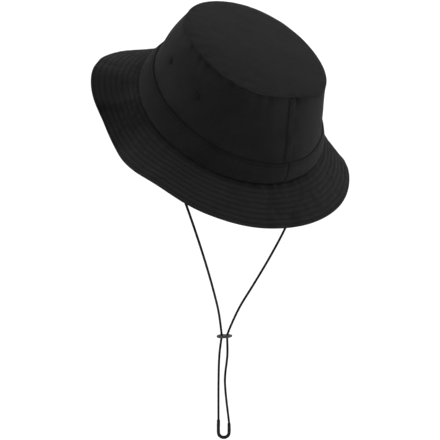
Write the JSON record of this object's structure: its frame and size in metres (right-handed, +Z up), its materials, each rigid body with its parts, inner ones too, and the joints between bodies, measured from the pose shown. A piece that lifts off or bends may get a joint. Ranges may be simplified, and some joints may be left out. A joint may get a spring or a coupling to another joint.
{
  "type": "bucket hat",
  "caption": "Soft cloth bucket hat with a stitched sloping brim, vent eyelets and a hanging chin cord with a slide and an end tube.",
  "frame": {"origin": "centre of the head opening, where the crown wall meets the brim", "axes": "+Z up against gravity, +X to the wearer's left, -Y the way the wearer faces; the hat is tipped 32.4 degrees back, so its crown axis leans from +Z towards +Y"},
  "size_m": [0.2398, 0.2391, 0.4554],
  "materials": {
    "shell_cloth": "charcoal cotton twill",
    "lining_cloth": "plain black cotton",
    "seam_tape": "black bias tape",
    "thread": "black embroidery thread",
    "cord": "black braided cord",
    "slide_leather": "dark grey split leather",
    "end_tube": "black shrunk tube",
    "label_cloth": "pale woven label, blank"
  },
  "bodies": {
    "hat": {"crown_top_panel": "shell_cloth", "crown_side_left": "shell_cloth", "crown_side_right": "shell_cloth", "hat_band_left": "shell_cloth", "hat_band_right": "shell_cloth", "seam_strip_back": "shell_cloth", "seam_strip_front": "shell_cloth", "sweatband": "lining_cloth", "top_seam_tape": "seam_tape", "size_label": "label_cloth", "brim_upper": "shell_cloth", "brim_interlining": "lining_cloth", "brim_under": "shell_cloth", "eyelet_left_back": "thread", "eyelet_left_front": "thread", "eyelet_right_front": "thread", "eyelet_right_back": "thread", "cord_tab_left": "seam_tape", "cord_tab_right": "seam_tape"},
    "chin_cord": {"cord_upper_left": "cord", "cord_upper_right": "cord", "cord_lower_left": "cord", "cord_lower_right": "cord", "cord_end_tube": "end_tube"},
    "cord_slide": {"cord_lock": "slide_leather"}
  },
  "joints": [
    {"name": "cord_swing", "type": "hinge", "parent": "hat", "child": "chin_cord", "pos_m": [0, 0.00415, -0.0039], "axis": [1, 0, 0], "range_deg": [-80, 20]},
    {"name": "lock_slide", "type": "slide", "parent": "chin_cord", "child": "cord_slide", "axis": [0, 0, 1], "range_m": [-0.05, 0.09], "deforming": ["cord_upper_left", "cord_upper_right", "cord_lower_left", "cord_lower_right"]}
  ]
}
